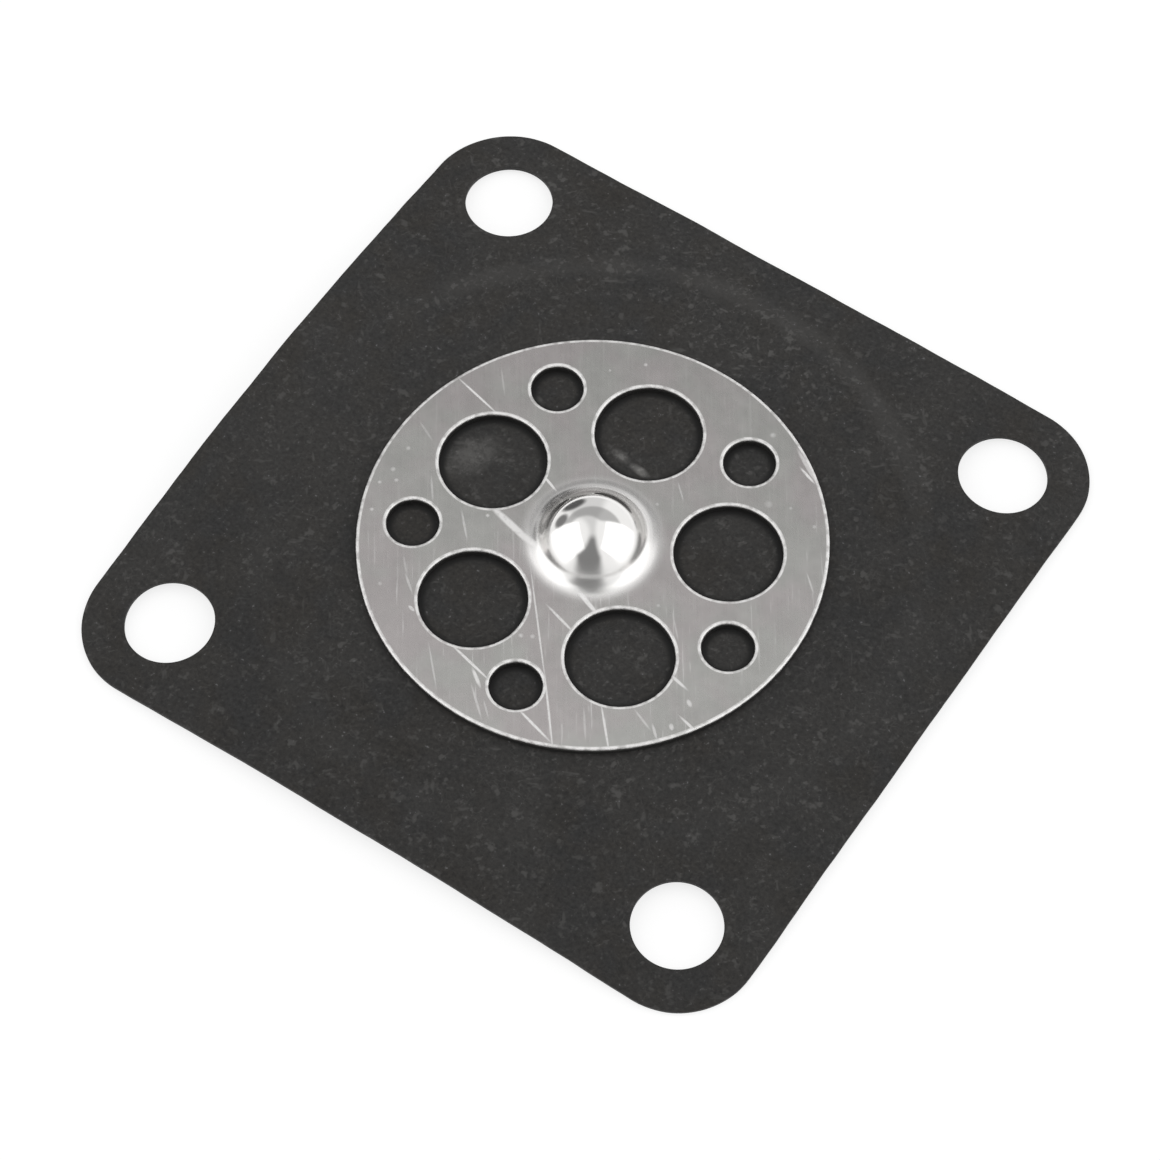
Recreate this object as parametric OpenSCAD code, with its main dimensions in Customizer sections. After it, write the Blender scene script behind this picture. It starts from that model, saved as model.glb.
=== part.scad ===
// Carburettor diaphragm: a square sheet of rubberised fabric with a perforated
// aluminium plate bonded to its middle. The sheet lies on its four corners, as it
// comes to rest on a table, and the button on the plate points up.
// The origin is under the middle of the sheet, on the surface that it lies on.

/* [Diaphragm sheet] */
// Distance between neighbouring screw holes
screw_pitch = 24.2; // [22.5:0.1:28]
// Diameter of a screw hole
screw_hole_d = 3.65; // [2.6:0.05:4.6]
// Width from a screw hole's centre to the sheet's edge
screw_margin = 3.5; // [2.8:0.05:4.5]
// Radius of the sheet's corners
corner_r = 3.4; // [1:0.1:4]
// Thickness of the rubberised fabric
sheet_t = 0.2; // [0.12:0.01:0.4]
// Height that the sheet loses between the plate's edge and the tips of its corners
corner_droop = 0.6; // [0.2:0.05:1]

/* [Pressed ring] */
// Distance from the plate's edge to the middle of the ring
ring_gap = 3.9; // [2.5:0.1:4.3]
// Width of the ring's slope
ring_w = 1.4; // [0.8:0.1:2]
// Height of the step that the ring makes
ring_step = 0.15; // [0.05:0.01:0.3]

/* [Plate] */
// Diameter of the plate
plate_d = 19; // [17.5:0.1:20.5]
// Thickness of the plate
plate_t = 0.35; // [0.25:0.01:0.6]
// Radius of the rounded upper edge that the punch leaves on the plate and its holes
edge_r = 0.08; // [0.04:0.01:0.2]
// Distance along +X by which the plate is bonded off the sheet's middle
plate_offset = 0.15; // [0:0.05:0.3]

/* [Holes in the plate] */
// Number of large holes, and of small ones
hole_count = 5; // [4:1:6]
// Diameter of a large hole
large_hole_d = 4.4; // [3:0.1:4.8]
// Distance from the plate's edge to the centre of a large hole
large_hole_inset = 4.03; // [3.6:0.01:4.3]
// Diameter of a small hole
small_hole_d = 2.14; // [1.2:0.02:2.5]
// Distance from the plate's edge to the centre of a small hole
small_hole_inset = 2.22; // [1.8:0.01:2.6]
// Direction of the first large hole from the middle, in degrees from +X
first_hole_turn = -45; // [-90:1:90]

/* [Button] */
// Radius of the button's dome
dome_r = 2.3; // [2:0.05:2.6]
// Height of the button above the plate's upper face
button_h = 1.7; // [1.4:0.05:2]
// Radius of the hollow at the button's foot, which runs smoothly into dome and plate
foot_r = 0.9; // [0.6:0.05:1.1]

/* [Hidden] */
$fn = 96;
cut = 0.01;
// By how much the arcs of dome and foot overlap, so that they cross in one clean point
overlap = 0.0005;

sheet_w = screw_pitch + 2 * screw_margin;
corner_reach = (sheet_w / 2 - corner_r) * sqrt(2) + corner_r;
plate_r = plate_d / 2;
seat_r = plate_r + plate_offset;
ring_r = plate_r + ring_gap;
ring_in = ring_r - ring_w / 2;
ring_out = ring_r + ring_w / 2;
rim_r = corner_reach + 1;
seat_z = corner_droop + ring_step + sheet_t;
droop_rate = corner_droop / (corner_reach - seat_r) ^ 2;
dome_z = plate_t + button_h - dome_r;
foot_z = plate_t + foot_r;
foot_reach = sqrt((dome_r + foot_r - overlap) ^ 2 - (foot_z - dome_z) ^ 2);

// Part of the ring's step that is passed at radius r, from 0 to 1
function ring_share(r) =
    let (way = max(0, min(1, (r - ring_in) / ring_w)))
    (1 - cos(180 * way)) / 2;

// Height of the sheet's upper face at radius r
function sheet_z(r) =
    seat_z - droop_rate * max(0, r - seat_r) ^ 2 - ring_step * ring_share(r);

function steps(from, to, count) = [for (i = [0 : count - 1]) from + (to - from) * i / count];

// Radii at which the section of the sheet has a point: close together on the ring
radii = concat([0], steps(seat_r, ring_in, 8), steps(ring_in, ring_out, 10), steps(ring_out, rim_r, 12), [rim_r]);

// Section of the whole sheet through its middle, from the axis to past the corners
module sheet_section() {
    upper = [for (r = radii) [r, sheet_z(r)]];
    lower = [for (i = [len(radii) - 1 : -1 : 0]) [radii[i], sheet_z(radii[i]) - sheet_t]];
    polygon(concat(upper, lower));
}

// Square outline of the sheet, with rounded corners
module sheet_outline() {
    straight_w = sheet_w - 2 * corner_r;
    square([sheet_w, straight_w], center = true);
    square([straight_w, sheet_w], center = true);
    at_corners(straight_w) circle(corner_r);
}

// Copies at the corners of a square of side w round the origin
module at_corners(w) {
    for (x = [-1, 1], y = [-1, 1])
        translate([x, y] * w / 2) children();
}

module diaphragm_sheet() {
    color([0.23, 0.22, 0.21])
    difference() {
        intersection() {
            rotate_extrude() sheet_section();
            translate([0, 0, -cut]) linear_extrude(seat_z + 2 * cut) sheet_outline();
        }
        translate([0, 0, -1]) linear_extrude(seat_z + 2)
            at_corners(screw_pitch) circle(screw_hole_d / 2);
    }
}

// Section of the plate and of the outside of its button
module plate_section() {
    difference() {
        square([plate_r, plate_t]);
        translate([plate_r, plate_t]) edge_corner();
    }
    bell(0, plate_t - cut);
}

// Section under the button's face or, inset by the plate's thickness, under its hollow side
module bell(inset, floor_z) {
    intersection() {
        translate([0, floor_z]) square(foot_reach + dome_r);
        union() {
            translate([0, dome_z]) circle(dome_r - inset);
            difference() {
                polygon([[0, -dome_r], [foot_reach, -dome_r], [foot_reach, foot_z], [0, dome_z]]);
                translate([foot_reach, foot_z]) circle(foot_r + inset);
            }
        }
    }
}

// What the rounding takes from an edge whose corner is at the origin, with the metal at the lower left
module edge_corner() {
    difference() {
        translate([-edge_r, -edge_r]) square(edge_r + cut);
        translate([-edge_r, -edge_r]) circle(edge_r);
    }
}

// A punched hole: its bore and the rounded upper edge
module punched_hole(d) {
    translate([0, 0, -cut]) cylinder(h = plate_t + 2 * cut, d = d);
    rotate_extrude()
        translate([d / 2, plate_t]) mirror([1, 0]) edge_corner();
}

// Copies of a hole in a circle, its centres inset from the plate's edge
module hole_circle(inset, turn) {
    for (i = [0 : hole_count - 1])
        rotate(turn + i * 360 / hole_count) translate([plate_r - inset, 0]) children();
}

module centre_plate() {
    color([0.72, 0.71, 0.7])
    translate([plate_offset, 0, seat_z])
    difference() {
        rotate_extrude() difference() {
            plate_section();
            bell(plate_t, -cut);
        }
        hole_circle(large_hole_inset, first_hole_turn) punched_hole(large_hole_d);
        hole_circle(small_hole_inset, first_hole_turn + 180 / hole_count) punched_hole(small_hole_d);
    }
}

diaphragm_sheet();
centre_plate();
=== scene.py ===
import math
from functools import reduce

import bmesh
import bpy
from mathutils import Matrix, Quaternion, Vector, noise


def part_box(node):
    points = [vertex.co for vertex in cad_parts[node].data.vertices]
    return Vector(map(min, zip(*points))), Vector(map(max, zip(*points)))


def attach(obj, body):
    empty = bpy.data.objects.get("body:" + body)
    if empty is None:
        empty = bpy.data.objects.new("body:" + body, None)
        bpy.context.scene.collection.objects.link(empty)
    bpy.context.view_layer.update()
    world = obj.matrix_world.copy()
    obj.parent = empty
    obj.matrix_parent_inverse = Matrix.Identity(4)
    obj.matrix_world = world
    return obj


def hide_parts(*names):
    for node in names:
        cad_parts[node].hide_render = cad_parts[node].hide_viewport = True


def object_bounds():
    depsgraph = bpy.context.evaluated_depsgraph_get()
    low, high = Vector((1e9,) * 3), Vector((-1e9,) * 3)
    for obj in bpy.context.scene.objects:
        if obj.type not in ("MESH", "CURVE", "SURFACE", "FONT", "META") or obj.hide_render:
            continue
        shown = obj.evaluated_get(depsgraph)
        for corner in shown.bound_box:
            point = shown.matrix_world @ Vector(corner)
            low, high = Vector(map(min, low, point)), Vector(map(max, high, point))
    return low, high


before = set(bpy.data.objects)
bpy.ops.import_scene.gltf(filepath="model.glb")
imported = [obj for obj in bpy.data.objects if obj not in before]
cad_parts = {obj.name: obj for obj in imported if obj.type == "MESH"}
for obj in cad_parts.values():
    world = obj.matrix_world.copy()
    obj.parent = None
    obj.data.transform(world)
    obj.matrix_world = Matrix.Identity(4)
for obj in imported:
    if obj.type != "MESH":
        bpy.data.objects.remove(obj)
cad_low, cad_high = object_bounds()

bl_info = {
    "name": "Carburettor Diaphragm",
    "version": (1, 0, 0),
    "blender": (4, 5, 0),
    "location": "3D View > Sidebar > Diaphragm",
    "description": "Rubberised sheet, pressed plate with its button, and a studio for them",
    "category": "Add Mesh",
}

# Sizes are in metres, as in the frame, and are written in mm
MM = 0.001
sheet_low, sheet_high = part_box("diaphragm_sheet")
plate_low, plate_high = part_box("centre_plate")
SEAT_Z = plate_low.z
PLATE_X = (plate_low.x + plate_high.x) / 2
PLATE_RADIUS = (plate_high.x - plate_low.x) / 2

# Points that are closer than this are one point (metres)
SAME_POINT = 1e-7

# Directions on the plane: past the part as the camera sees it, and back to the camera's side
BEYOND = Vector((-0.566, 0.824, 0))
NEAR = -BEYOND

# Drop of the sheet's upper face below its seat under the plate: at a corner, and at the middle of a side
# by the side's direction (degrees from +X)
CORNER_DROP = 0.60 * MM
SIDE_DROPS = {0: 0.41 * MM, 90: 0.41 * MM, 180: -0.50 * MM, 270: 0.05 * MM}

# Cells along a side of the sheet, cells from a screw hole's centre to where its own mesh starts, and cuts
# between that mesh's start and the hole
SHEET_CELLS = 125
HOLE_CELLS = 11
HOLE_CUTS = 3

# How the sheet's cut edge wanders: share of the half width inside which the sheet stays as it is, long and
# short waves per metre, strength of the short ones, and how far all of it is pulled in
STEADY = 0.9
LONG_WAVES = 300
SHORT_WAVES = 1100
SHORT_STRENGTH = 0.4
PULLED_IN = 0.4

# Rounding of the sheet's cut edges
CUT_EDGE = 0.03 * MM

# Steps in a full turn of the plate's rim, of the button and of the hollow under it, and steps in an eighth
# of a turn of a hole for each mm of its diameter
RIM_STEPS = 288
BUTTON_STEPS = 192
HOLLOW_STEPS = 96
HOLE_STEPS = 3.2

# Steps in the arcs of the plate's rounded edges, of the button's foot and of its dome
EDGE_STEPS = 6
FOOT_STEPS = 16
DOME_STEPS = 40

# Lint on the rubber: flecks per mm, turn of their long side, how much they are drawn out, level of the
# noise from which they show, and how strongly
FLECKS = [
    (2.0, 0.0, 1.0, 0.59, 0.9),
    (3.0, 1.0, 1.4, 0.61, 0.9),
    (2.6, 0.5, 2.6, 0.64, 0.8),
    (2.6, -0.9, 2.8, 0.65, 0.8),
]
FLECK_EDGE = 0.14

# Dusty patch on the sheet: middle, half length and width (mm), and turn (degrees)
DUSTY_PATCH = ((0.6, 12.0), (6.5, 3.2), -14)

# Where the bond has crept out on the sheet inside a plate hole: middle, half length and
# width (mm), turn (degrees), and how bright
BOND_SMEARS = [
    ((-6.2, 0.7), (1.0, 1.7), -20, 0.25),
    ((-0.15, 3.90), (0.62, 0.24), -6, 1.0),
    ((-1.15, 4.05), (0.6, 0.3), -10, 0.5),
    ((-5.4, 4.3), (0.5, 0.3), -35, 0.5),
]

# Direction from the middle in which the painted sheen on the pressed ring shows most
RING_SHEEN_SIDE = (-0.26, 0.966, 0)

# Colours on the rubber: tiny bright specks, the bond, and the line of shade along a hole's wall
SPECK_COLOUR = (0.14, 0.14, 0.145, 1.0)
BOND_COLOUR = (0.26, 0.255, 0.245, 1.0)
SHADE_COLOUR = (0.004, 0.004, 0.004, 1.0)

# Scratches on the plate: two ends from its middle (mm), half width (mm), and how bright
SCRATCHES = [
    ((-4.90, -0.80), (-0.90, -1.75), 0.16, 1.0),
    ((-1.9, -1.3), (0.2, -2.6), 0.16, 0.8),
    ((-1.82, -1.90), (2.51, -6.98), 0.04, 0.8),
    ((1.3, -5.52), (4.4, -9.31), 0.045, 0.9),
    ((0.40, -2.14), (2.40, -2.87), 0.10, 1.0),
    ((-0.05, -3.45), (2.0, -4.03), 0.06, 0.9),
    ((5.60, -3.36), (7.05, -3.67), 0.07, 0.9),
    ((7.09, -3.97), (7.47, -4.22), 0.09, 0.7),
    ((7.10, -4.74), (8.70, -5.13), 0.06, 0.9),
    ((7.14, -5.22), (7.40, -5.50), 0.09, 0.7),
    ((4.20, -5.80), (6.05, -7.86), 0.05, 0.9),
    ((3.83, -6.41), (4.90, -7.86), 0.05, 0.35),
    ((-2.40, -6.98), (0.50, -7.66), 0.06, 1.0),
    ((-0.82, -7.42), (0.13, -8.11), 0.08, 0.9),
    ((-0.50, -7.98), (1.0, -9.30), 0.05, 0.5),
    ((0.38, -8.36), (1.13, -9.05), 0.04, 0.4),
    ((1.50, -7.93), (3.90, -8.58), 0.06, 1.0),
    ((-2.95, -7.36), (-1.25, -9.18), 0.04, 0.45),
    ((-4.48, -6.54), (-4.05, -6.65), 0.07, 0.8),
    ((-5.46, -5.35), (-4.52, -6.10), 0.05, 0.5),
    ((-5.96, -4.72), (-5.27, -5.47), 0.04, 0.35),
    ((-5.27, -1.64), (-4.08, -2.90), 0.05, 0.5),
    ((-7.16, -1.02), (-6.28, -2.15), 0.05, 0.4),
    ((4.40, -0.95), (5.50, -2.10), 0.04, 0.35),
    ((5.52, -5.47), (6.78, -5.98), 0.05, 0.5),
    ((6.50, -5.60), (7.16, -6.20), 0.06, 0.6),
    ((-9.10, 3.40), (-6.20, 2.72), 0.05, 1.0),
    ((-3.55, 1.49), (-2.30, 1.01), 0.06, 1.0),
    ((1.32, 4.19), (2.13, 3.44), 0.04, 0.4),
    ((4.40, 8.20), (6.28, 7.05), 0.09, 0.7),
    ((5.02, 7.46), (6.15, 7.06), 0.06, 1.0),
    ((7.90, 3.50), (8.80, 2.70), 0.04, 0.5),
    ((-7.66, 4.76), (-6.65, 3.57), 0.04, 0.3),
    ((-9.04, 0.80), (-7.90, 0.24), 0.05, 0.3),
]
SCRATCH_FADE = 1.25

# Dots and small rubbed spots on the plate: middle and radius (mm), and how bright
SPOTS = [
    ((-4.14, -1.39), 0.11, 0.7),
    ((-8.55, -1.70), 0.14, 0.5),
    ((-8.15, -2.05), 0.12, 0.5),
    ((-8.66, -2.50), 0.10, 0.6),
    ((-8.20, -3.72), 0.11, 0.7),
    ((-8.60, -0.55), 0.12, 0.5),
    ((-5.96, -6.35), 0.12, 0.4),
    ((0.06, -5.22), 0.13, 0.6),
    ((0.46, -5.00), 0.13, 0.5),
    ((-2.76, 8.08), 0.11, 0.6),
    ((-3.83, 7.04), 0.08, 0.5),
    ((3.40, 8.10), 0.16, 0.5),
    ((5.84, 5.60), 0.09, 0.4),
    ((7.10, 5.40), 0.12, 0.4),
    ((5.00, 5.26), 0.22, 0.3),
    ((1.26, 2.80), 0.10, 0.4),
    ((3.85, -1.08), 0.10, 0.4),
]

# Middle of the polished part of the plate, from the plate's middle (mm)
POLISH_MIDDLE = (0.2, -0.29, 0)

# Painted highlight along the crease round the button's foot: middle and radius (mm), and the side on which
# it shows
CREASE_MIDDLE = (-0.085, 0.124, 0)
CREASE_RADIUS = 2.25
CREASE_HIGHLIGHT_SIDE = (0.6, 0.8, 0)

# Directions of the plate's brushing, and of the fainter strokes across it
BRUSH_TURN = math.atan2(BEYOND.y, BEYOND.x)
CROSS_TURN = math.radians(-13)

# Colours on the metal: next to the button, painted shade on hole and rim walls, scratches and painted
# highlights
FOOT_COLOUR = (0.8, 0.79, 0.78, 1.0)
WALL_SHADE_COLOUR = (0.10, 0.098, 0.095, 1.0)
SCRATCH_AND_HIGHLIGHT_COLOUR = (0.95, 0.94, 0.93, 1.0)

# Grey band of the room beyond the part: sines of the heights over which it starts and over which it ends,
# how its end slopes to one side, and where it stops towards the camera's side
BAND_START = (0.44, 0.54)
BAND_END = (0.78, 0.87)
BAND_SLOPE = 0.24
BAND_SIDE = (-0.48, -0.36)

# Grey gap between the lamps, wider and further to one side the lower it is: lean, width and soft edge
GAP_LEAN = 0.13
GAP_WIDTH = 0.3
GAP_EDGE = 0.2

# Dark spots of the room: degrees from the camera's side towards its right, and upwards, radius at which
# they start and radius inside which they are full (degrees), and brightness
DARK_SPOTS = [
    (-158, 8, 18, 10, 0.1),
    (-127, 18, 15, 8, 0.2),
]

# Shares of forward and upward in the direction of the lamps
LAMP_FORWARD = 0.15
LAMP_RISE = 0.7

# Brightness of the floor as the camera sees it, the light that reaches it, and its gap under the part
FLOOR_WHITE = 1.02
FLOOR_LIGHT = 0.85
FLOOR_GAP = 0.005 * MM

# Width of the camera's sensor (mm), and the distances between which the camera sees (metres)
SENSOR_WIDTH = 36
SIGHT = (0.01, 10)


def length(name, description, size):
    """A length that the sidebar shows, its default size given in millimetres."""
    return bpy.props.FloatProperty(
        name=name, description=description, default=size * MM, min=0.0, unit="LENGTH"
    )


def brightness(name, description, level):
    """A brightness that the sidebar shows, where 1 is white."""
    return bpy.props.FloatProperty(name=name, description=description, default=level, min=0.0)


def paint(name, description, colour):
    """A colour that the sidebar shows."""
    return bpy.props.FloatVectorProperty(
        name=name, description=description, subtype="COLOR", size=3, min=0.0, max=1.0, default=colour
    )


class SheetSettings(bpy.types.PropertyGroup):
    width: bpy.props.FloatProperty(
        name="Width", description="Side of the square sheet",
        default=sheet_high.x - sheet_low.x, min=0.01, unit="LENGTH",
    )
    corner_radius: length("Corner Radius", "Radius of the sheet's corners", 3.4)
    thickness: length("Thickness", "Thickness of the rubberised fabric", 0.2)
    screw_pitch: length("Screw Pitch", "Distance between neighbouring screw holes", 24.2)
    screw_hole: length("Screw Hole", "Diameter of a screw hole", 3.65)
    ring_radius: length("Ring Radius", "Radius of the middle of the pressed ring", 13.4)
    ring_width: length("Ring Width", "Width of the pressed ring's slope", 1.4)
    ring_step: length("Ring Step", "Height of the step that the pressed ring makes", 0.15)
    edge_waver: length("Edge Waver", "How far the cut edge wanders from its line", 0.03)
    colour: paint("Colour", "Colour of the rubber", (0.0255, 0.0244, 0.0232))
    lint_and_sheen_colour: paint("Lint", "Colour of the pale specks and fibres", (0.075, 0.073, 0.070))


class PlateSettings(bpy.types.PropertyGroup):
    diameter: bpy.props.FloatProperty(
        name="Diameter", description="Diameter of the plate",
        default=plate_high.x - plate_low.x, min=0.005, unit="LENGTH",
    )
    thickness: length("Thickness", "Thickness of the plate", 0.35)
    edge_radius: length("Edge Radius", "Radius of the upper edges that the punch leaves", 0.08)
    hole_count: bpy.props.IntProperty(
        name="Holes", description="Number of large holes, and of small ones", default=5, min=3, max=8
    )
    large_hole: length("Large Hole", "Diameter of a large hole", 4.4)
    large_circle: length("Large Hole Circle", "Distance of a large hole from the middle", 5.47)
    small_hole: length("Small Hole", "Diameter of a small hole", 2.14)
    small_circle: length("Small Hole Circle", "Distance of a small hole from the middle", 7.28)
    first_turn: bpy.props.FloatProperty(
        name="First Hole", description="Direction of the first large hole from +X",
        default=math.radians(-45), unit="ROTATION",
    )
    dome_radius: length("Dome Radius", "Radius of the button's dome", 2.3)
    button_height: bpy.props.FloatProperty(
        name="Button Height", description="Height of the button's top above the sheet",
        default=plate_high.z - plate_low.z, min=0.001, unit="LENGTH",
    )
    foot_radius: length("Foot Radius", "Radius of the hollow at the button's foot", 0.9)
    colour: paint("Colour", "Colour of the metal", (0.53, 0.517, 0.51))
    polished: paint("Polished Colour", "Colour of the metal where it is polished", (0.9, 0.89, 0.875))
    polish: length("Polish", "Radius of the polished part of the button and its foot", 2.25)
    roughness: bpy.props.FloatProperty(
        name="Roughness", description="Roughness of the satin face", default=0.27,
        min=0.0, max=1.0, subtype="FACTOR",
    )


class StudioSettings(bpy.types.PropertyGroup):
    floor_size: length("Floor Size", "Side of the square floor", 2000)
    floor_grey: bpy.props.FloatProperty(
        name="Floor Grey", description="Share of light that the floor sends back", default=0.3,
        min=0.0, max=1.0, subtype="FACTOR",
    )
    lamp_level: brightness("Lamp Level", "Brightness of the lamps' faces", 0.35)
    lamp_size: length("Lamp Size", "Side of a square lamp", 900)
    lamp_distance: length("Lamp Distance", "Distance of a lamp from the part", 700)
    near_side: brightness("Near Side", "Brightness of the room on the camera's side", 0.95)
    far_side: brightness("Far Side", "Brightness of the grey band beyond the part", 0.5)
    gap: brightness("Gap", "Brightness of the gap between the lamps", 0.22)
    lens: bpy.props.FloatProperty(
        name="Lens", description="Focal length of the camera", default=150.0, min=1.0, unit="CAMERA"
    )
    camera: bpy.props.FloatVectorProperty(
        name="Camera", description="Place of the camera", size=3, subtype="XYZ", unit="LENGTH",
        default=(54.502 * MM, -80.204 * MM, 168.975 * MM),
    )
    target: bpy.props.FloatVectorProperty(
        name="Target", description="Point that the camera looks at", size=3, subtype="XYZ", unit="LENGTH",
        default=(0.762 * MM, -1.827 * MM, 1.30 * MM),
    )
    roll: bpy.props.FloatProperty(
        name="Roll", description="Turn of the camera about its own line of sight",
        default=math.radians(-0.877), unit="ROTATION",
    )


# Shader nodes


def add(tree, kind, inputs=None, **settings):
    """Adds a node, sets it, and fills or links its inputs."""
    node = tree.nodes.new(kind)
    for key, value in settings.items():
        setattr(node, key, value)
    for key, value in (inputs or {}).items():
        if isinstance(value, bpy.types.NodeSocket):
            tree.links.new(value, node.inputs[key])
        else:
            node.inputs[key].default_value = value
    return node


def calc(tree, operation, *values, clamp=False):
    """A Math node's result."""
    inputs = dict(enumerate(values))
    return add(tree, "ShaderNodeMath", inputs, operation=operation, use_clamp=clamp).outputs[0]


def chain(tree, operation, values):
    """Joins any number of values by one operation after the other."""
    return reduce(lambda first, second: calc(tree, operation, first, second), values)


def total(tree, *values):
    """The sum of several values."""
    return chain(tree, "ADD", values)


def product(tree, *values):
    """The product of several values."""
    return chain(tree, "MULTIPLY", values)


def largest(tree, *values):
    """The largest of several values."""
    return chain(tree, "MAXIMUM", values)


def away(tree, value, middle):
    """How far a value is from middle, to either side."""
    return calc(tree, "ABSOLUTE", calc(tree, "SUBTRACT", value, middle))


def measure(tree, operation, vector, other=(0, 0, 0)):
    """A number from one vector or two: LENGTH, DISTANCE or DOT_PRODUCT."""
    return add(tree, "ShaderNodeVectorMath", {0: vector, 1: other}, operation=operation).outputs["Value"]


def ramp(tree, value, start, end, low=0.0, high=1.0, smooth=True):
    """Takes value from start..end to low..high, clamped."""
    kind = "SMOOTHSTEP" if smooth else "LINEAR"
    inputs = {"Value": value, "From Min": start, "From Max": end, "To Min": low, "To Max": high}
    return add(tree, "ShaderNodeMapRange", inputs, interpolation_type=kind).outputs[0]


def blend(tree, share, first, second, kind="MIX"):
    """Mixes two colours by share."""
    mix_sockets = {0: share, 6: first, 7: second}
    return add(tree, "ShaderNodeMix", mix_sockets, data_type="RGBA", blend_type=kind).outputs[2]


def opaque(colour, factors=(1, 1, 1)):
    """A colour with its red, green and blue scaled, and with full alpha."""
    return (*(channel * factor for channel, factor in zip(colour, factors)), 1.0)


def tinted(tree, colour, shade):
    """A colour times a brightness."""
    grey = add(tree, "ShaderNodeCombineColor", {0: shade, 1: shade, 2: shade}).outputs[0]
    return blend(tree, 1.0, colour, grey, "MULTIPLY")


def millimetres(tree):
    """Object coordinates in millimetres."""
    place = add(tree, "ShaderNodeTexCoord").outputs["Object"]
    return add(tree, "ShaderNodeMapping", {"Vector": place, "Scale": (1000, 1000, 1000)}).outputs[0]


def flattened(tree, vector):
    """The vector with its height taken out."""
    return add(tree, "ShaderNodeVectorMath", {0: vector, 1: (1, 1, 0)}, operation="MULTIPLY").outputs[0]


def height_of(tree, vector):
    """The vector's height."""
    return add(tree, "ShaderNodeSeparateXYZ", {0: vector}).outputs[2]


def grain(tree, vector, scale, detail=2.0, rough=0.5, seed=(0, 0, 0), turn=0.0, stretch=1.0):
    """Noise in cells per millimetre, drawn out by stretch along the direction turn."""
    moved = add(
        tree, "ShaderNodeMapping",
        {"Vector": vector, "Location": seed, "Rotation": (0, 0, turn), "Scale": (stretch, 1, 1)},
        vector_type="TEXTURE",
    ).outputs[0]
    inputs = {"Vector": moved, "Scale": scale, "Detail": detail, "Roughness": rough}
    return add(tree, "ShaderNodeTexNoise", inputs).outputs[0]


def oval(tree, vector, middle, half, turn, inner, bright=1.0):
    """Bright inside an oval on the plane, falling to 0 at its rim, whatever the height."""
    any_height = 1e6
    place = {"Location": (*middle, 0), "Rotation": (0, 0, turn), "Scale": (*half, any_height)}
    local = add(tree, "ShaderNodeMapping", {"Vector": vector, **place}, vector_type="TEXTURE").outputs[0]
    return ramp(tree, measure(tree, "LENGTH", local), inner, 1.0, bright, 0.0)


def inside_holes(tree, vector, settings):
    """How far inside the outline of the nearest plate hole a point is (mm)."""
    flat = flattened(tree, vector)
    gaps = []
    for circle, diameter, turn in plate_circles(settings):
        for middle in hole_circle(settings, circle, turn):
            reach = measure(tree, "DISTANCE", flat, (middle.x / MM, middle.y / MM, 0))
            gaps.append(calc(tree, "SUBTRACT", diameter / 2 / MM, reach))
    return largest(tree, *gaps)


def new_material(name):
    """A material without nodes, and its node tree."""
    material = bpy.data.materials.new(name)
    material.use_nodes = True
    material.node_tree.nodes.clear()
    return material, material.node_tree


def finished(tree, inputs):
    """Ends a material's tree with its shader."""
    shader = add(tree, "ShaderNodeBsdfPrincipled", inputs)
    add(tree, "ShaderNodeOutputMaterial", {"Surface": shader.outputs[0]})


# Rubber


def pressed_ring_sheen(tree, place, settings):
    """Mask of the painted sheen: 1 along the pressed ring, and less on the side where it hardly shows."""
    reach = measure(tree, "LENGTH", flattened(tree, place))
    off = away(tree, reach, settings.ring_radius / MM)
    shows = measure(tree, "DOT_PRODUCT", place, RING_SHEEN_SIDE)
    return product(tree, ramp(tree, off, 0.2, 0.75, 1.0, 0.0), ramp(tree, shows, 4.0, 12.0, 0.15, 1.0))


def dust(tree, place, beyond, cloudy, ring):
    """How thickly lint lies: in clouds, and more of it beyond the plate and on the pressed ring."""
    middle, half, turn = DUSTY_PATCH
    patch = oval(tree, place, middle, half, math.radians(turn), 0.2)
    return total(
        tree,
        ramp(tree, cloudy, 0.3, 0.65, 0.35, 0.85),
        product(tree, patch, ramp(tree, cloudy, 0.35, 0.6, 0.2, 0.6)),
        ramp(tree, beyond, 4.0, 20.0, 0.0, 0.3),
        product(tree, ring, 0.35),
    )


def lint(tree, place, spread):
    """Pale flecks and short fibres, and threads that curl between them."""
    flecks = []
    for scale, turn, stretch, start, strength in FLECKS:
        seed = (5 * scale, 3 * turn, 0)
        spots = grain(tree, place, scale, detail=2.0, rough=0.6, seed=seed, turn=turn, stretch=stretch)
        flecks.append(ramp(tree, spots, start, start + FLECK_EDGE, 0.0, strength))
    curl = grain(tree, place, 2.2, detail=1.5, seed=(7, 3, 0))
    thread = ramp(tree, away(tree, curl, 0.5), 0.0, 0.035, 0.35, 0.0)
    here_and_there = ramp(tree, grain(tree, place, 1.5, seed=(2, 9, 0)), 0.5, 0.62)
    flecks.append(product(tree, thread, here_and_there))
    return calc(tree, "MULTIPLY", largest(tree, *flecks), spread, clamp=True)


def bond(tree, place):
    """The bond's smears on the sheet, patchy as it crept out."""
    smears = [
        oval(tree, place, middle, half, math.radians(turn), 0.2, bright)
        for middle, half, turn, bright in BOND_SMEARS
    ]
    creep = grain(tree, place, 2.6, detail=4.0, rough=0.7, seed=(2, 7, 0))
    return product(tree, largest(tree, *smears), ramp(tree, creep, 0.4, 0.6, 0.45, 1.0))


def wall_shade(tree, place, plate):
    """The dark line on the sheet along the walls of the plate's holes."""
    inside = inside_holes(tree, place, plate)
    return product(tree, ramp(tree, inside, 0.14, 0.38, 0.85, 0.0), ramp(tree, inside, -0.1, 0.0))


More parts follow.
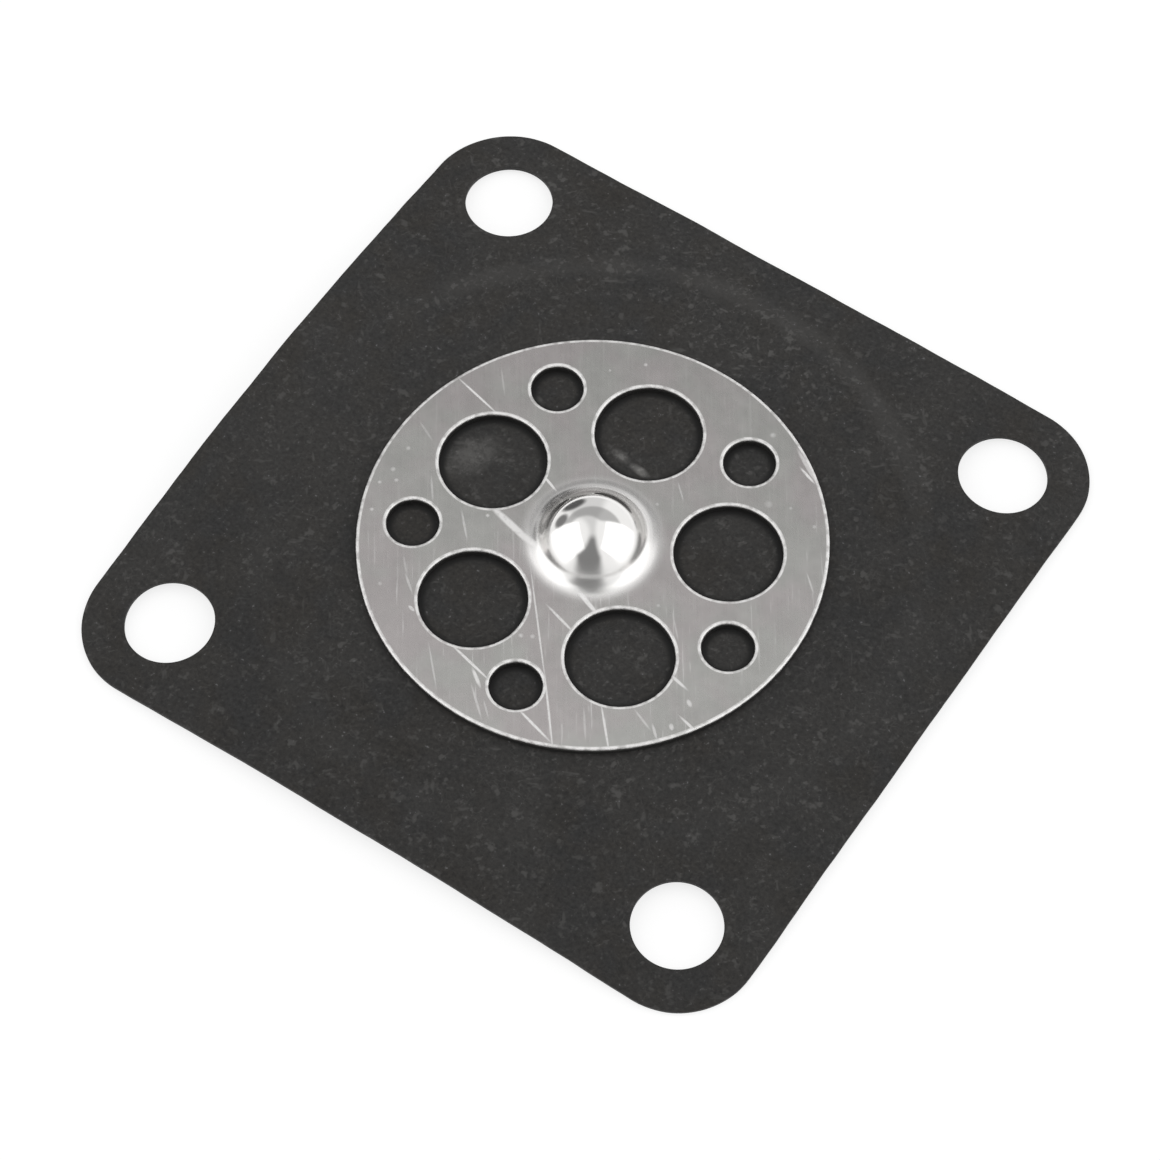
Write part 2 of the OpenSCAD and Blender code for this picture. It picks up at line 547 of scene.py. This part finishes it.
def rubber_tone(tree, place, beyond, fine, cloudy, settings):
    """The rubber's colour, mottled, a little browner or bluer in places, and paler beyond the plate."""
    hue = grain(tree, place, 0.6, detail=2.0, seed=(9, 4, 0))
    brown = opaque(settings.colour, (1.06, 1.01, 0.95))
    blue = opaque(settings.colour, (0.97, 1.0, 1.05))
    tone = blend(tree, ramp(tree, hue, 0.35, 0.65), brown, blue)
    tone = blend(tree, ramp(tree, cloudy, 0.3, 0.7), tone, opaque(settings.colour))
    shade = total(
        tree,
        ramp(tree, fine, 0.25, 0.75, 0.5, 1.55, smooth=False),
        ramp(tree, cloudy, 0.3, 0.7, -0.12, 0.12),
        ramp(tree, beyond, -14.0, 16.0, -0.06, 0.16),
    )
    return tinted(tree, tone, shade)


def rubberised_fabric(settings, plate):
    """Matte charcoal rubber on cloth, with lint, dust, the bond's traces inside the plate's holes, and
    painted sheen on the pressed ring.
    """
    material, tree = new_material("rubberised_fabric")
    place = millimetres(tree)
    beyond = measure(tree, "DOT_PRODUCT", place, BEYOND)
    normal = add(tree, "ShaderNodeTexCoord").outputs["Normal"]
    upper = ramp(tree, height_of(tree, normal), 0.1, 0.3)
    fine = grain(tree, place, 6.0, detail=3.0, rough=0.6)
    cloudy = grain(tree, place, 0.3, detail=3.0, seed=(3, 1, 0))
    ring = pressed_ring_sheen(tree, place, settings)
    lint_and_sheen_colour = opaque(settings.lint_and_sheen_colour)

    tone = rubber_tone(tree, place, beyond, fine, cloudy, settings)
    # The first share is painted sheen: a pale band along the pressed ring, strongest on one side.
    for share, colour in (
        (product(tree, ring, ramp(tree, cloudy, 0.35, 0.6, 0.08, 0.26)), lint_and_sheen_colour),
        (lint(tree, place, dust(tree, place, beyond, cloudy, ring)), lint_and_sheen_colour),
        (ramp(tree, fine, 0.66, 0.76, 0.0, 0.8), SPECK_COLOUR),
        (product(tree, bond(tree, place), upper), BOND_COLOUR),
        (product(tree, wall_shade(tree, place, plate), upper), SHADE_COLOUR),
    ):
        tone = blend(tree, share, tone, colour)

    bump = add(tree, "ShaderNodeBump", {"Strength": 0.5, "Distance": 0.013 * MM, "Height": fine})
    finished(tree, {
        "Base Color": tone,
        "Roughness": ramp(tree, fine, 0.3, 0.7, 0.5, 0.64, smooth=False),
        "Specular IOR Level": 0.3,
        "Normal": bump.outputs[0],
    })
    return material


# Metal


def scratches(tree, centred):
    """The plate's scratches and spots, a little broken up."""
    marks = []
    for start, end, half_width, bright in SCRATCHES:
        way = Vector(end) - Vector(start)
        middle = Vector(start) + way / 2
        half = (way.length / 2, SCRATCH_FADE * half_width)
        marks.append(oval(tree, centred, middle, half, math.atan2(way.y, way.x), 0.45, bright))
    for middle, radius, bright in SPOTS:
        marks.append(oval(tree, centred, middle, (radius, radius), 0, 0.2, bright))
    broken = ramp(tree, grain(tree, centred, 6.0, detail=3.0, seed=(8, 2, 0)), 0.3, 0.5, 0.7, 1.0)
    return product(tree, largest(tree, *marks), broken)


def painted_edge_highlights(tree, place, centred, from_axis, settings):
    """Painted highlight: a bright, ragged line along the rim and round the holes, beside their rounded
    edges.
    """
    outside = calc(tree, "SUBTRACT", from_axis, settings.diameter / 2 / MM)
    past = largest(tree, inside_holes(tree, place, settings), outside)
    ragged = ramp(tree, grain(tree, centred, 3.0, detail=3.0, seed=(1, 6, 0)), 0.3, 0.6, 0.35, 1.0)
    return product(tree, ramp(tree, past, -0.16, -0.11), ragged)


def crease_highlight(tree, flat):
    """Painted highlight: a thin bright line along the crease at the button's foot, on the side where it
    catches the light.
    """
    off = away(tree, measure(tree, "DISTANCE", flat, CREASE_MIDDLE), CREASE_RADIUS)
    shows = measure(tree, "DOT_PRODUCT", flat, CREASE_HIGHLIGHT_SIDE)
    return product(tree, ramp(tree, off, 0.015, 0.06, 1.0, 0.0), ramp(tree, shows, -0.6, 1.2, 0.0, 0.8))


def satin_tone(tree, centred, near, brushed, settings):
    """The satin metal's colour: blotched, pinker or greener in places, and paler on the camera's side as
    painted light.
    """
    hue = grain(tree, centred, 0.4, detail=2.0, seed=(6, 1, 0))
    pink = opaque(settings.colour, (1.02, 0.985, 0.99))
    green = opaque(settings.colour, (0.985, 1.005, 0.98))
    tone = blend(tree, ramp(tree, hue, 0.35, 0.65), pink, green)
    blotch = grain(tree, centred, 1.1, detail=4.0, rough=0.6, seed=(3, 8, 0))
    shade = total(
        tree,
        ramp(tree, blotch, 0.3, 0.7, 0.91, 1.04, smooth=False),
        ramp(tree, brushed, 0.3, 0.7, -0.015, 0.025, smooth=False),
        # Painted light: paler towards the camera's side, darker beyond.
        ramp(tree, near, -9.0, 9.0, -0.07, 0.07, smooth=False),
    )
    return tinted(tree, tone, shade)


def satin_roughness(tree, centred, brushed, scratches_and_highlights, settings):
    """The satin metal's roughness, streaked by the brushing and higher in scratches and along the painted
    highlights.
    """
    crossed = grain(tree, centred, 7.0, detail=2.0, rough=0.6, seed=(4, 4, 0), turn=CROSS_TURN, stretch=18)
    cloudy = grain(tree, centred, 0.25, detail=2.0, seed=(1, 3, 0))
    return total(
        tree,
        settings.roughness,
        ramp(tree, brushed, 0.35, 0.65, -0.02, 0.02, smooth=False),
        ramp(tree, crossed, 0.4, 0.7, -0.01, 0.02, smooth=False),
        ramp(tree, cloudy, 0.3, 0.7, -0.03, 0.03, smooth=False),
        product(tree, scratches_and_highlights, 0.3),
    )


def plate_metal(settings):
    """Satin aluminium brushed one way and scratched, its button polished, with painted edge highlights and
    wall shade.
    """
    material, tree = new_material("plate_metal")
    place = millimetres(tree)
    shift = (-PLATE_X / MM, 0, 0)
    centred = add(tree, "ShaderNodeMapping", {"Vector": place, "Location": shift}).outputs[0]
    flat = flattened(tree, centred)
    from_axis = measure(tree, "LENGTH", flat)
    near = measure(tree, "DOT_PRODUCT", flat, NEAR)
    polish = settings.polish / MM
    satin = ramp(tree, measure(tree, "DISTANCE", flat, POLISH_MIDDLE), polish - 0.12, polish + 0.14)

    height = height_of(tree, centred)
    wall_top = (SEAT_Z + settings.thickness - settings.edge_radius) / MM
    # Painted shade: below their rounded top edges, the walls of the holes and rim are coloured dark; they
    # are also made rougher.
    wall = ramp(tree, height, wall_top - 0.12, wall_top - 0.03, 1.0, 0.0)
    face = ramp(tree, height, wall_top - 0.03, wall_top + 0.02)

    brushed = grain(tree, centred, 9.0, detail=3.0, rough=0.6, turn=BRUSH_TURN, stretch=22)
    hairs = product(
        tree, ramp(tree, brushed, 0.62, 0.72, 0.0, 0.5), ramp(tree, near, -4.0, 7.0, 0.15, 1.0), satin
    )
    # Painted highlights: bright lines along the rim, round the holes and along the crease at the button's
    # foot, drawn with the scratches.
    edges = painted_edge_highlights(tree, place, centred, from_axis, settings)
    marks = largest(tree, scratches(tree, centred), hairs, edges, crease_highlight(tree, flat))
    scratches_and_highlights = product(tree, marks, face)

    tone = satin_tone(tree, centred, near, brushed, settings)
    tone = blend(tree, ramp(tree, from_axis, 2.5, 3.1, 0.8, 0.0), tone, FOOT_COLOUR)
    tone = blend(tree, satin, opaque(settings.polished), tone)
    tone = blend(tree, wall, tone, WALL_SHADE_COLOUR)
    # Scratches take the bright colour, and so do the painted highlights along the edges and the crease.
    tone = blend(tree, scratches_and_highlights, tone, SCRATCH_AND_HIGHLIGHT_COLOUR)

    shine = ramp(tree, from_axis, 1.5, 1.9, 0.1, 0.24)
    dull = satin_roughness(tree, centred, brushed, scratches_and_highlights, settings)
    rough = ramp(tree, satin, 0.0, 1.0, shine, dull, smooth=False)
    finished(tree, {
        "Base Color": tone,
        "Metallic": 1.0,
        "Roughness": total(tree, rough, product(tree, wall, 0.3)),
    })
    return material


# Meshes


def seat_radius():
    """Radius of the part of the sheet that lies flat under the plate."""
    return PLATE_RADIUS + abs(PLATE_X)


def upper_face(x, y, settings):
    """Height of the sheet's upper face, as the sheet lies on its corners."""
    radius, angle = math.hypot(x, y), math.atan2(y, x)
    seat_r = seat_radius()
    corner = (settings.width / 2 - settings.corner_radius) * math.sqrt(2) + settings.corner_radius
    reach = max(0.0, radius - seat_r) / (corner - seat_r)
    side_share = ((settings.width / 2 - seat_r) / (corner - seat_r)) ** 2
    drop = 0.0
    for index in range(8):
        off = abs((angle - index * math.pi / 4 + math.pi) % (2 * math.pi) - math.pi)
        if off < math.pi / 4:
            own = CORNER_DROP if index % 2 else SIDE_DROPS[index * 45] / side_share
            drop += own * math.cos(2 * off) ** 2
    way = (radius - settings.ring_radius) / settings.ring_width + 0.5
    step = (1 - math.cos(math.pi * min(1.0, max(0.0, way)))) / 2
    return SEAT_Z - drop * reach ** 2 - settings.ring_step * step


def round_corner(co, half, radius):
    """Moves a point of the square grid's corner into the corner's arc."""
    over_x, over_y = abs(co.x) - (half - radius), abs(co.y) - (half - radius)
    if over_x > 0 and over_y > 0:
        pull = max(over_x, over_y) / math.hypot(over_x, over_y)
        co.x = math.copysign(half - radius + over_x * pull, co.x)
        co.y = math.copysign(half - radius + over_y * pull, co.y)


def square_reach(point, middle):
    """Distance from middle to the side of the upright square that point is on."""
    return max(abs(point.x - middle.x), abs(point.y - middle.y))


def cut_screw_hole(bm, middle, rim, radius):
    """Fills the opening round a screw hole with rings that end in the hole."""
    made = bmesh.ops.extrude_edge_only(bm, edges=rim)["geom"]
    ring = [part for part in made if isinstance(part, bmesh.types.BMVert)]
    spokes = [edge for vert in ring for edge in vert.link_edges if edge.other_vert(vert) not in ring]
    for vert in ring:
        vert.co = middle + (vert.co - middle).normalized() * radius
    bmesh.ops.subdivide_edges(bm, edges=spokes, cuts=HOLE_CUTS, use_grid_fill=True)


def wander(co, settings):
    """Factor by which a point of the sheet moves out, so that the cut edge wanders."""
    half = settings.width / 2
    share = max(0.0, max(abs(co.x), abs(co.y)) / half - STEADY) / (1 - STEADY)
    long_wave = noise.noise(co * LONG_WAVES + Vector((7, 3, 1)))
    short_wave = noise.noise(co * SHORT_WAVES)
    waver = long_wave + SHORT_STRENGTH * short_wave
    return 1 + (waver * share ** 2 - PULLED_IN) * settings.edge_waver / half


def mesh_object(name, bm, material):
    """Makes a smooth-shaded object of a bmesh, at the origin."""
    for face in bm.faces:
        face.smooth = True
    mesh = bpy.data.meshes.new(name)
    bm.to_mesh(mesh)
    bm.free()
    mesh.materials.append(material)
    piece = bpy.data.objects.new(name, mesh)
    bpy.context.scene.collection.objects.link(piece)
    return piece


def diaphragm_sheet(settings):
    """The sheet's mesh: a grid with rounded corners and screw holes, laid in its resting shape."""
    bm = bmesh.new()
    half, radius = settings.width / 2, settings.corner_radius
    bmesh.ops.create_grid(bm, x_segments=SHEET_CELLS, y_segments=SHEET_CELLS, size=half)
    reach = HOLE_CELLS * settings.width / SHEET_CELLS
    openings = []
    for x_side in (-1, 1):
        for y_side in (-1, 1):
            middle = Vector((x_side, y_side, 0)) * settings.screw_pitch / 2
            near = [face for face in bm.faces if square_reach(face.calc_center_median(), middle) < reach]
            rim = {
                edge for face in near for edge in face.edges
                if any(other not in near for other in edge.link_faces)
            }
            bmesh.ops.delete(bm, geom=near, context="FACES")
            openings.append((middle, list(rim)))
    for vert in bm.verts:
        round_corner(vert.co, half, radius)
    for middle, rim in openings:
        cut_screw_hole(bm, middle, rim, settings.screw_hole / 2)
    for vert in bm.verts:
        vert.co *= wander(vert.co, settings)
        vert.co.z = upper_face(vert.co.x, vert.co.y, settings)
    bmesh.ops.recalc_face_normals(bm, faces=bm.faces[:])
    if sum(face.normal.z for face in bm.faces) < 0:
        bmesh.ops.reverse_faces(bm, faces=bm.faces[:])
    return bm


def arc(bm, vert, centre, angle, steps):
    """Turns a point round centre, in the plane of a profile, and returns the arc's last point."""
    made = bmesh.ops.spin(bm, geom=[vert], cent=centre, axis=(0, 1, 0), angle=angle, steps=steps)
    return made["geom_last"][0]


def line(bm, vert, way):
    """Draws a straight line from a point and returns its end."""
    made = bmesh.ops.extrude_vert_indiv(bm, verts=[vert])["verts"]
    bmesh.ops.translate(bm, verts=made, vec=way)
    return made[0]


def lathe(bm, middle, draw, steps):
    """Draws a profile beside the axis through middle and spins it to a full turn."""
    old_verts, old_edges = set(bm.verts), set(bm.edges)
    draw()
    profile = [vert for vert in bm.verts if vert not in old_verts]
    profile += [edge for edge in bm.edges if edge not in old_edges]
    bmesh.ops.spin(
        bm, geom=profile, cent=middle, axis=(0, 0, 1), angle=2 * math.pi, steps=steps, use_merge=True
    )


def hole_circle(settings, radius, turn):
    """Middles of the plate's holes on one circle."""
    for index in range(settings.hole_count):
        angle = turn + index * 2 * math.pi / settings.hole_count
        yield Vector((PLATE_X + radius * math.cos(angle), radius * math.sin(angle), SEAT_Z))


def plate_circles(settings):
    """Both circles of the plate's holes: radius, diameter of a hole, and direction of the first one."""
    half_step = math.pi / settings.hole_count
    return (
        (settings.large_circle, settings.large_hole, settings.first_turn),
        (settings.small_circle, settings.small_hole, settings.first_turn + half_step),
    )


def at_level(edge, level):
    """Whether both ends of an edge are at a height."""
    return all(abs(vert.co.z - level) < SAME_POINT for vert in edge.verts)


def centre_plate(settings):
    """The plate's mesh: rim, punched holes and button are turned, and flat faces fill the rest."""
    bm = bmesh.new()
    low, high = SEAT_Z, SEAT_Z + settings.thickness
    rounding = settings.edge_radius
    axis = Vector((PLATE_X, 0, low))
    dome_z = low + settings.button_height - settings.dome_radius
    foot_z = high + settings.foot_radius
    span = settings.dome_radius + settings.foot_radius
    steep = math.acos((foot_z - dome_z) / span)
    foot_x = axis.x + span * math.sin(steep)

    def rim():
        start = bm.verts.new(axis + Vector((settings.diameter / 2, 0, 0)))
        top = line(bm, start, (0, 0, settings.thickness - rounding))
        arc(bm, top, top.co - Vector((rounding, 0, 0)), -math.pi / 2, EDGE_STEPS)

    def bore(middle, radius):
        start = bm.verts.new(middle + Vector((radius, 0, 0)))
        top = line(bm, start, (0, 0, settings.thickness - rounding))
        arc(bm, top, top.co + Vector((rounding, 0, 0)), math.pi / 2, EDGE_STEPS)

    def bell(floor):
        start = bm.verts.new((foot_x, 0, floor))
        wall = arc(bm, start, Vector((foot_x, 0, foot_z)), steep, FOOT_STEPS)
        arc(bm, wall, Vector((axis.x, 0, dome_z)), -steep, DOME_STEPS)

    lathe(bm, axis, rim, RIM_STEPS)
    for circle, diameter, turn in plate_circles(settings):
        steps = 8 * round(diameter / MM * HOLE_STEPS)
        for middle in hole_circle(settings, circle, turn):
            lathe(bm, middle, lambda: bore(middle, diameter / 2), steps)
    lathe(bm, axis, lambda: bell(high), BUTTON_STEPS)
    lathe(bm, axis, lambda: bell(low), HOLLOW_STEPS)
    bmesh.ops.remove_doubles(bm, verts=bm.verts[:], dist=SAME_POINT)
    for level in (low, high):
        border = [edge for edge in bm.edges if edge.is_boundary and at_level(edge, level)]
        for edge in border:
            edge.smooth = False
        bmesh.ops.triangle_fill(bm, use_beauty=True, use_dissolve=False, edges=border)
    bmesh.ops.recalc_face_normals(bm, faces=bm.faces[:])
    return bm


def require(condition, message):
    """Stops an operator that can't finish, because a cancelled one wouldn't stop the script."""
    if not condition:
        raise RuntimeError(message)


# Operators, the panel that lists them, and the run itself


class DIAPHRAGM_OT_sheet(bpy.types.Operator):
    """Makes the square sheet of rubberised fabric, laid as it rests"""

    bl_idname = "diaphragm.sheet"
    bl_label = "Diaphragm Sheet"

    def execute(self, context):
        settings = context.scene.diaphragm_sheet
        require(settings.corner_radius < settings.width / 2, "the corners are too round for the sheet")
        fabric = rubberised_fabric(settings, context.scene.diaphragm_plate)
        piece = mesh_object("rubber_sheet", diaphragm_sheet(settings), fabric)
        wall = piece.modifiers.new("Thickness", "SOLIDIFY")
        wall.thickness = settings.thickness
        wall.offset = -1
        edge = piece.modifiers.new("Cut Edge", "BEVEL")
        edge.width = CUT_EDGE
        edge.segments = 2
        edge.harden_normals = True
        edge.limit_method = "ANGLE"
        edge.angle_limit = math.radians(50)
        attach(piece, "root")
        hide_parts("diaphragm_sheet")
        return {"FINISHED"}


class DIAPHRAGM_OT_plate(bpy.types.Operator):
    """Makes the perforated plate with its polished button"""

    bl_idname = "diaphragm.plate"
    bl_label = "Centre Plate"

    def execute(self, context):
        settings = context.scene.diaphragm_plate
        bm = centre_plate(settings)
        require(all(edge.is_manifold for edge in bm.edges), "the plate's mesh is open")
        piece = mesh_object("pressed_plate", bm, plate_metal(settings))
        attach(piece, "root")
        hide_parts("centre_plate")
        return {"FINISHED"}


def studio_world(settings, toward, side):
    """White backdrop, and a room whose far side is grey, as the polished button shows it."""
    world = bpy.data.worlds.new("studio")
    world.use_nodes = True
    tree = world.node_tree
    tree.nodes.clear()
    way = add(tree, "ShaderNodeTexCoord").outputs["Generated"]
    up = height_of(tree, way)
    front = measure(tree, "DOT_PRODUCT", way, toward)
    across = measure(tree, "DOT_PRODUCT", way, side)

    def spot(azimuth, elevation, outer, inner):
        """1 round a direction, by degrees from the camera's side towards its right, and upwards."""
        turn, rise = math.radians(azimuth), math.radians(elevation)
        level = toward * math.cos(turn) + side * math.sin(turn)
        middle = level * math.cos(rise) + Vector((0, 0, math.sin(rise)))
        nearness = measure(tree, "DOT_PRODUCT", way, middle)
        return ramp(tree, nearness, math.cos(math.radians(outer)), math.cos(math.radians(inner)))

    def towards(room, share, level):
        """Takes the room's brightness to level by share."""
        return total(tree, room, product(tree, share, calc(tree, "SUBTRACT", level, room)))

    sloped = calc(tree, "SUBTRACT", up, product(tree, across, BAND_SLOPE))
    band = product(
        tree,
        ramp(tree, up, *BAND_START),
        ramp(tree, sloped, *BAND_END, 1.0, 0.0),
        ramp(tree, front, *BAND_SIDE, 1.0, 0.0),
    )
    room = towards(settings.near_side, band, settings.far_side)

    low = ramp(tree, up, 1.0, 0.6, 0.0, 1.0, smooth=False)
    offset = calc(tree, "ABSOLUTE", total(tree, across, product(tree, low, GAP_LEAN)))
    beside = calc(tree, "SUBTRACT", offset, product(tree, low, GAP_WIDTH))
    column = product(
        tree, ramp(tree, beside, 0.0, GAP_EDGE, 1.0, 0.0), ramp(tree, front, 0.0, 0.3, 0.35, 1.0)
    )
    room = towards(room, column, settings.gap)
    for azimuth, elevation, outer, inner, level in DARK_SPOTS:
        room = towards(room, spot(azimuth, elevation, outer, inner), level)

    light = add(tree, "ShaderNodeLightPath")
    below = ramp(tree, up, -0.02, 0.02, 1.0, 0.0)
    mirrored = product(
        tree, largest(tree, light.outputs["Is Glossy Ray"], light.outputs["Is Transmission Ray"]), below
    )
    strength = towards(room, largest(tree, light.outputs["Is Camera Ray"], mirrored), 1.0)
    sky = add(tree, "ShaderNodeBackground", {"Color": (1, 1, 1, 1), "Strength": strength})
    add(tree, "ShaderNodeOutputWorld", {"Surface": sky.outputs[0]})
    return world


def floor_material(settings):
    """White floor that shows the part's shadow."""
    material, tree = new_material("studio_floor")
    light = add(tree, "ShaderNodeLightPath")
    seen = largest(
        tree, *(light.outputs[name] for name in ("Is Camera Ray", "Is Glossy Ray", "Is Transmission Ray"))
    )
    matte = add(tree, "ShaderNodeBsdfDiffuse", {"Color": opaque([settings.floor_grey] * 3)})
    glow = add(tree, "ShaderNodeEmission", {
        "Color": (1, 1, 1, 1),
        "Strength": product(tree, seen, FLOOR_WHITE - settings.floor_grey * FLOOR_LIGHT),
    })
    both = add(tree, "ShaderNodeAddShader", {0: matte.outputs[0], 1: glow.outputs[0]})
    add(tree, "ShaderNodeOutputMaterial", {"Surface": both.outputs[0]})
    return material


class DIAPHRAGM_OT_studio(bpy.types.Operator):
    """Makes the floor, the soft light and the camera"""

    bl_idname = "diaphragm.studio"
    bl_label = "Studio"

    def execute(self, context):
        scene, settings = context.scene, context.scene.diaphragm_studio
        place, target = Vector(settings.camera), Vector(settings.target)
        require(place.z > target.z, "the camera is below what it looks at")

        bm = bmesh.new()
        bmesh.ops.create_grid(bm, x_segments=1, y_segments=1, size=settings.floor_size / 2)
        bmesh.ops.translate(bm, verts=bm.verts[:], vec=(0, 0, cad_low.z - FLOOR_GAP))
        mesh_object("studio_floor", bm, floor_material(settings))

        camera = bpy.data.objects.new("camera", bpy.data.cameras.new("camera"))
        scene.collection.objects.link(camera)
        scene.camera = camera
        camera.data.lens = settings.lens
        camera.data.sensor_width = SENSOR_WIDTH
        camera.data.clip_start, camera.data.clip_end = SIGHT
        camera.location = place
        camera.rotation_mode = "QUATERNION"
        sight = (target - place).to_track_quat("-Z", "Y")
        camera.rotation_quaternion = sight @ Quaternion((0, 0, 1), settings.roll)

        toward = (place - target).to_2d().normalized().to_3d()
        side = Vector((-toward.y, toward.x, 0))
        scene.world = studio_world(settings, toward, side)
        for name, share in (("left_lamp", -1), ("right_lamp", 1)):
            lamp = bpy.data.lights.new(name, "AREA")
            lamp.shape = "SQUARE"
            lamp.size = settings.lamp_size
            lamp.energy = settings.lamp_level * math.pi * settings.lamp_size ** 2
            holder = bpy.data.objects.new(name, lamp)
            scene.collection.objects.link(holder)
            way = (side * share + toward * LAMP_FORWARD + Vector((0, 0, LAMP_RISE))).normalized()
            holder.location = way * settings.lamp_distance
            holder.rotation_euler = way.to_track_quat("Z", "Y").to_euler()
            holder.visible_camera = False
        scene.view_settings.view_transform = "Standard"
        return {"FINISHED"}


class DIAPHRAGM_PT_sidebar(bpy.types.Panel):
    """Lists the diaphragm's operators and sizes"""

    bl_idname = "DIAPHRAGM_PT_sidebar"
    bl_label = "Carburettor Diaphragm"
    bl_space_type = "VIEW_3D"
    bl_region_type = "UI"
    bl_category = "Diaphragm"

    def draw(self, context):
        for operator, group in STEPS:
            box = self.layout.box()
            box.operator(operator.bl_idname)
            settings = getattr(context.scene, group)
            for key in settings.__annotations__:
                box.prop(settings, key)


STEPS = [
    (DIAPHRAGM_OT_sheet, "diaphragm_sheet"),
    (DIAPHRAGM_OT_plate, "diaphragm_plate"),
    (DIAPHRAGM_OT_studio, "diaphragm_studio"),
]
GROUPS = {
    "diaphragm_sheet": SheetSettings,
    "diaphragm_plate": PlateSettings,
    "diaphragm_studio": StudioSettings,
}
CLASSES = [*GROUPS.values(), *(operator for operator, group in STEPS), DIAPHRAGM_PT_sidebar]


def register():
    for cls in CLASSES:
        bpy.utils.register_class(cls)
    for name, group in GROUPS.items():
        setattr(bpy.types.Scene, name, bpy.props.PointerProperty(type=group))


def unregister():
    for name in GROUPS:
        delattr(bpy.types.Scene, name)
    for cls in reversed(CLASSES):
        bpy.utils.unregister_class(cls)


def main():
    register()
    bpy.ops.diaphragm.sheet()
    bpy.ops.diaphragm.plate()
    bpy.ops.diaphragm.studio()


if __name__ == "__main__":
    main()
